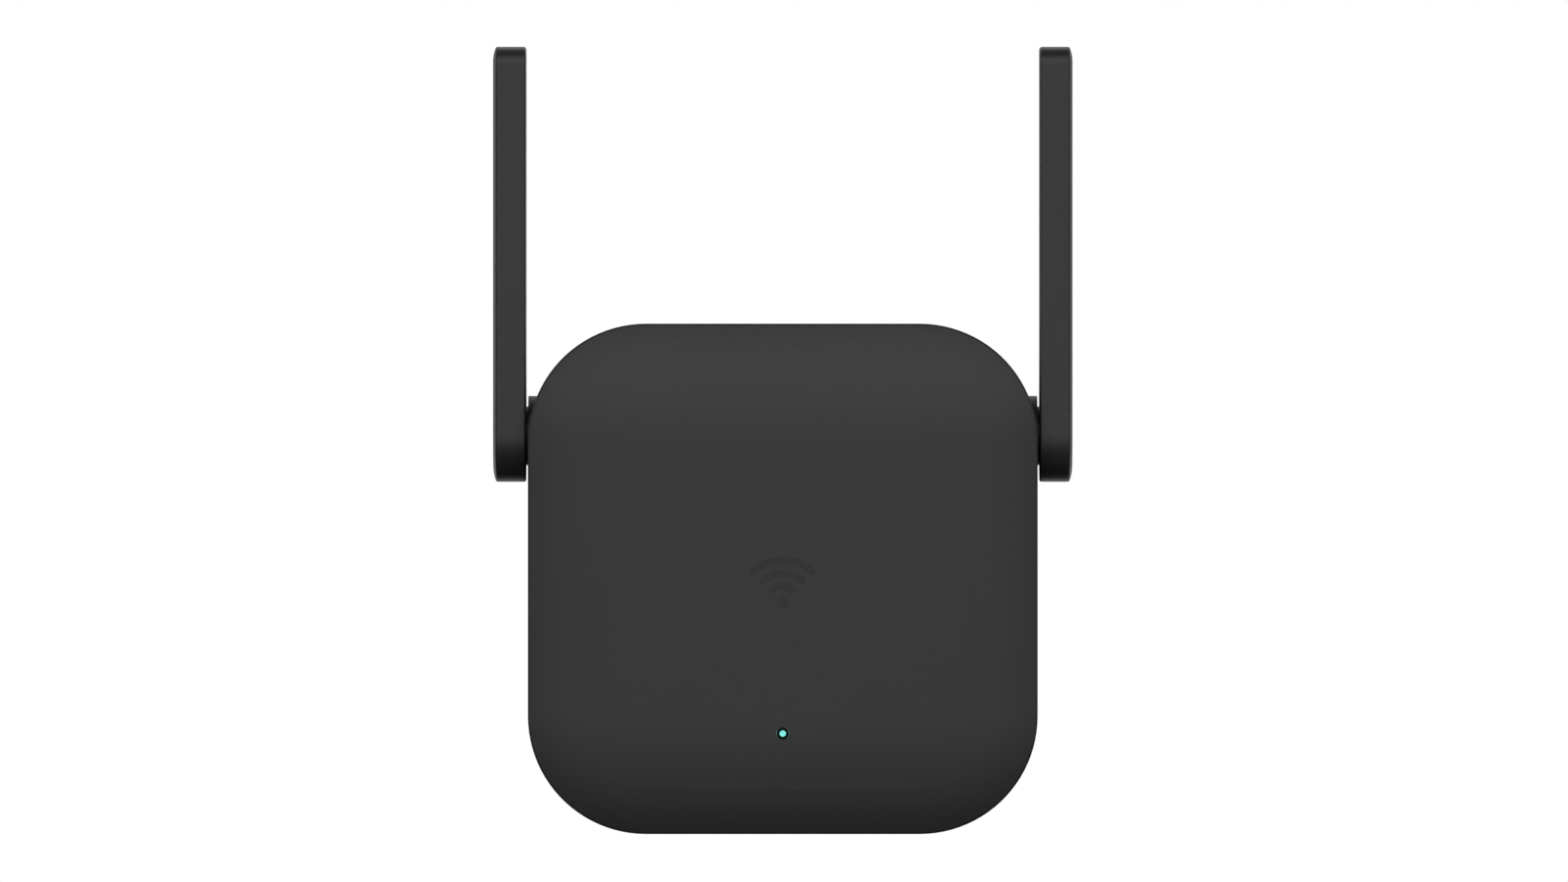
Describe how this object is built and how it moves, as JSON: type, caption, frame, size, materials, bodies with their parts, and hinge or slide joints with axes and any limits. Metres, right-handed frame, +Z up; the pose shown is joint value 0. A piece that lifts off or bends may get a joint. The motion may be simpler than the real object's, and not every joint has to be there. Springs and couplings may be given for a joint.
{
  "type": "wifi range extender",
  "caption": "Square plug-in wireless range extender with a softly crowned front, round corners, a status light and flat side antennas that fold forwards.",
  "frame": {"origin": "middle of the plug's end face, halfway between its two pins", "axes": "+Y into the wall along the pins, +Z up to the antennas' tips, +X to the right of somebody facing the front"},
  "size_m": [0.0904, 0.06, 0.1228],
  "materials": {
    "cover_plastic": "fine spark-eroded grain, charcoal",
    "case_plastic": "fine spark-eroded grain, near black",
    "antenna_plastic": "fine grain, charcoal",
    "plug_plastic": "smooth satin, near black",
    "sleeve_plastic": "smooth satin black",
    "pin_metal": "satin nickel plate",
    "strip_metal": "plain rolled strip",
    "label_film": "satin printed film, blank",
    "clear_light": "clear moulded light guide, lit teal",
    "dark_ring": "gloss black",
    "board_green": "green solder mask",
    "board_fr4": "bare laminate",
    "copper": "bare copper",
    "lead_jacket": "black fluoropolymer jacket",
    "bright_steel": "plain bright",
    "screw_steel": "zinc plated",
    "tin_plate": "tinned sheet",
    "gold_plate": "thin gold plate",
    "chip_epoxy": "moulded epoxy",
    "ceramic": "fired ceramic",
    "thermal_gel": "soft silicone pad",
    "white_plastic": "natural nylon",
    "led_epoxy": "clear epoxy on a white base",
    "sheet_film": "amber film",
    "ferrite": "sintered ferrite",
    "winding_tape": "yellow polyester tape",
    "can_sleeve": "shrunk dark blue film",
    "resistor_coat": "dipped coat",
    "disc_coat": "dipped blue epoxy"
  },
  "bodies": {
    "casing": {"antenna_jacks": "gold_plate", "board_header": "chip_epoxy", "bridge_rectifier": "chip_epoxy", "chip_capacitors": "ceramic", "chip_resistors": "chip_epoxy", "choke_coils": "copper", "choke_cores": "ferrite", "contact_strips": "strip_metal", "crystal": "tin_plate", "flash_chip": "chip_epoxy", "friction_washers": "white_plastic", "front_cover": "cover_plastic", "fuse_resistor": "resistor_coat", "header_pins": "gold_plate", "input_capacitors": "can_sleeve", "insulating_sheet": "sheet_film", "lead_plugs": "gold_plate", "left_body_lead": "lead_jacket", "light_pipe": "clear_light", "light_sleeve": "dark_ring", "logic_board": "board_green", "logic_board_screws": "screw_steel", "output_capacitor": "can_sleeve", "output_diode": "chip_epoxy", "pin_sleeves": "sleeve_plastic", "plug_carrier": "plug_plastic", "plug_pins": "pin_metal", "power_board": "board_fr4", "power_board_screws": "screw_steel", "power_chip": "chip_epoxy", "rating_label": "label_film", "rear_case": "case_plastic", "reset_switch": "tin_plate", "right_body_lead": "lead_jacket", "safety_capacitor": "disc_coat", "shield_frame": "tin_plate", "shield_lid": "tin_plate", "status_led": "led_epoxy", "thermal_pad": "thermal_gel", "transformer_bobbin": "chip_epoxy", "transformer_core": "ferrite", "transformer_winding": "winding_tape", "wifi_chip": "chip_epoxy"},
    "left_antenna": {"left_antenna_shell": "antenna_plastic", "left_antenna_lid": "antenna_plastic", "left_antenna_board": "board_green", "left_antenna_radiator": "copper", "left_arm_lead": "lead_jacket", "left_stop_ring": "bright_steel", "left_retaining_clip": "bright_steel"},
    "right_antenna": {"right_antenna_shell": "antenna_plastic", "right_antenna_lid": "antenna_plastic", "right_antenna_board": "board_green", "right_antenna_radiator": "copper", "right_arm_lead": "lead_jacket", "right_stop_ring": "bright_steel", "right_retaining_clip": "bright_steel"},
    "reset_button": {"reset_plunger": "chip_epoxy"}
  },
  "joints": [
    {"name": "left_antenna_hinge", "type": "hinge", "parent": "casing", "child": "left_antenna", "pos_m": [-0.03975, -0.028, 0.0223], "axis": [1, 0, 0], "range_deg": [0, 180]},
    {"name": "right_antenna_hinge", "type": "hinge", "parent": "casing", "child": "right_antenna", "pos_m": [0.03975, -0.028, 0.0223], "axis": [1, 0, 0], "range_deg": [0, 180]},
    {"name": "reset_press", "type": "slide", "parent": "casing", "child": "reset_button", "axis": [0, 0, 1], "range_m": [0, 0.0003], "stiffness_N_per_m": 300, "springref_m": -0.0005}
  ]
}
